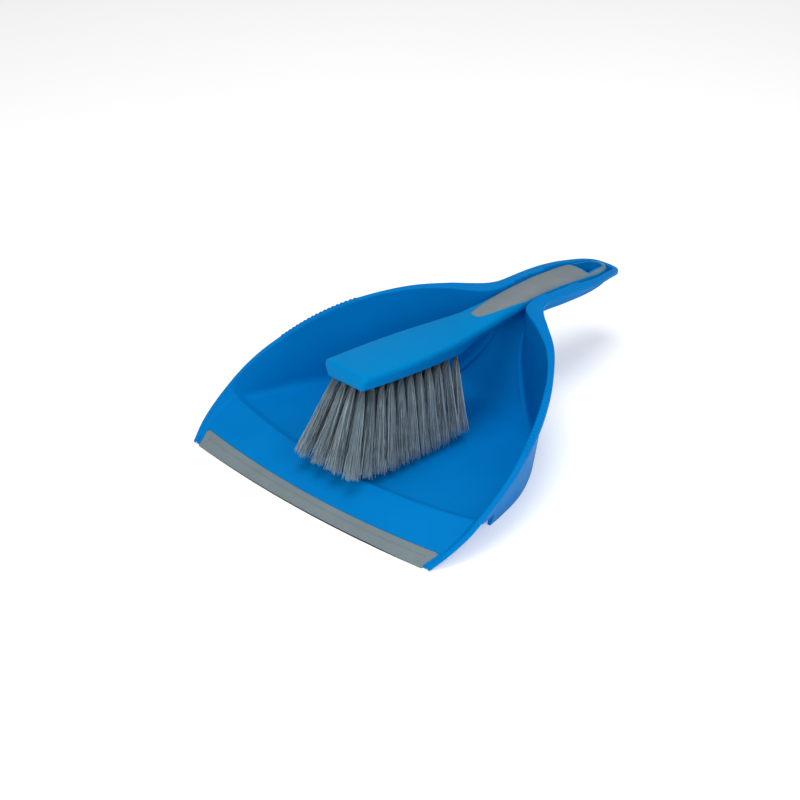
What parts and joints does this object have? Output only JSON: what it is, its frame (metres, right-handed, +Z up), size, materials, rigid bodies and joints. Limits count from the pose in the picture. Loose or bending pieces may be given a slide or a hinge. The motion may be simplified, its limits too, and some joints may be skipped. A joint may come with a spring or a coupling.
{
  "type": "dust pan and brush set",
  "caption": "Dust pan with a soft lip, a ramp, combed rim edges and a hollow handle, and a hand brush that clips into the handle.",
  "frame": {"origin": "on the ground plane, under the middle of the set's bounding box", "axes": "+Y from the front lip to the tip of the handle, +Z up, +X to the right of someone who stands at the lip and looks along +Y"},
  "size_m": [0.24, 0.3286, 0.0878],
  "materials": {
    "blue_plastic": "moulded polypropylene, satin, with fine flow and scuff marks",
    "grey_soft_plastic": "soft thermoplastic rubber, matt",
    "bristle": "fine crimped polyester filaments, grey, lighter at the split tips",
    "staple_wire": "flat steel wire"
  },
  "bodies": {
    "pan": {"pan_body": "blue_plastic", "lip_strip": "grey_soft_plastic"},
    "brush": {"brush_body": "blue_plastic", "soft_grip": "grey_soft_plastic", "tuft_anchors": "staple_wire", "tuft_1_1": "bristle", "tuft_1_2": "bristle", "tuft_1_3": "bristle", "tuft_1_4": "bristle", "tuft_2_1": "bristle", "tuft_2_2": "bristle", "tuft_2_3": "bristle", "tuft_2_4": "bristle", "tuft_3_1": "bristle", "tuft_3_2": "bristle", "tuft_3_3": "bristle", "tuft_3_4": "bristle", "tuft_4_1": "bristle", "tuft_4_2": "bristle", "tuft_4_3": "bristle", "tuft_4_4": "bristle", "tuft_5_1": "bristle", "tuft_5_2": "bristle", "tuft_5_3": "bristle", "tuft_5_4": "bristle", "tuft_6_1": "bristle", "tuft_6_2": "bristle", "tuft_6_3": "bristle", "tuft_6_4": "bristle", "tuft_7_1": "bristle", "tuft_7_2": "bristle", "tuft_7_3": "bristle", "tuft_7_4": "bristle", "tuft_8_1": "bristle", "tuft_8_2": "bristle", "tuft_8_3": "bristle", "tuft_8_4": "bristle", "tuft_9_1": "bristle", "tuft_9_2": "bristle", "tuft_9_3": "bristle", "tuft_9_4": "bristle", "tuft_10_1": "bristle", "tuft_10_2": "bristle", "tuft_10_3": "bristle", "tuft_10_4": "bristle", "tuft_11_1": "bristle", "tuft_11_2": "bristle", "tuft_11_3": "bristle", "tuft_11_4": "bristle"}
  },
  "joints": [
    {"name": "brush_lift", "type": "slide", "parent": "pan", "child": "brush", "axis": [0, 0, 1], "range_m": [0, 0.12]}
  ]
}
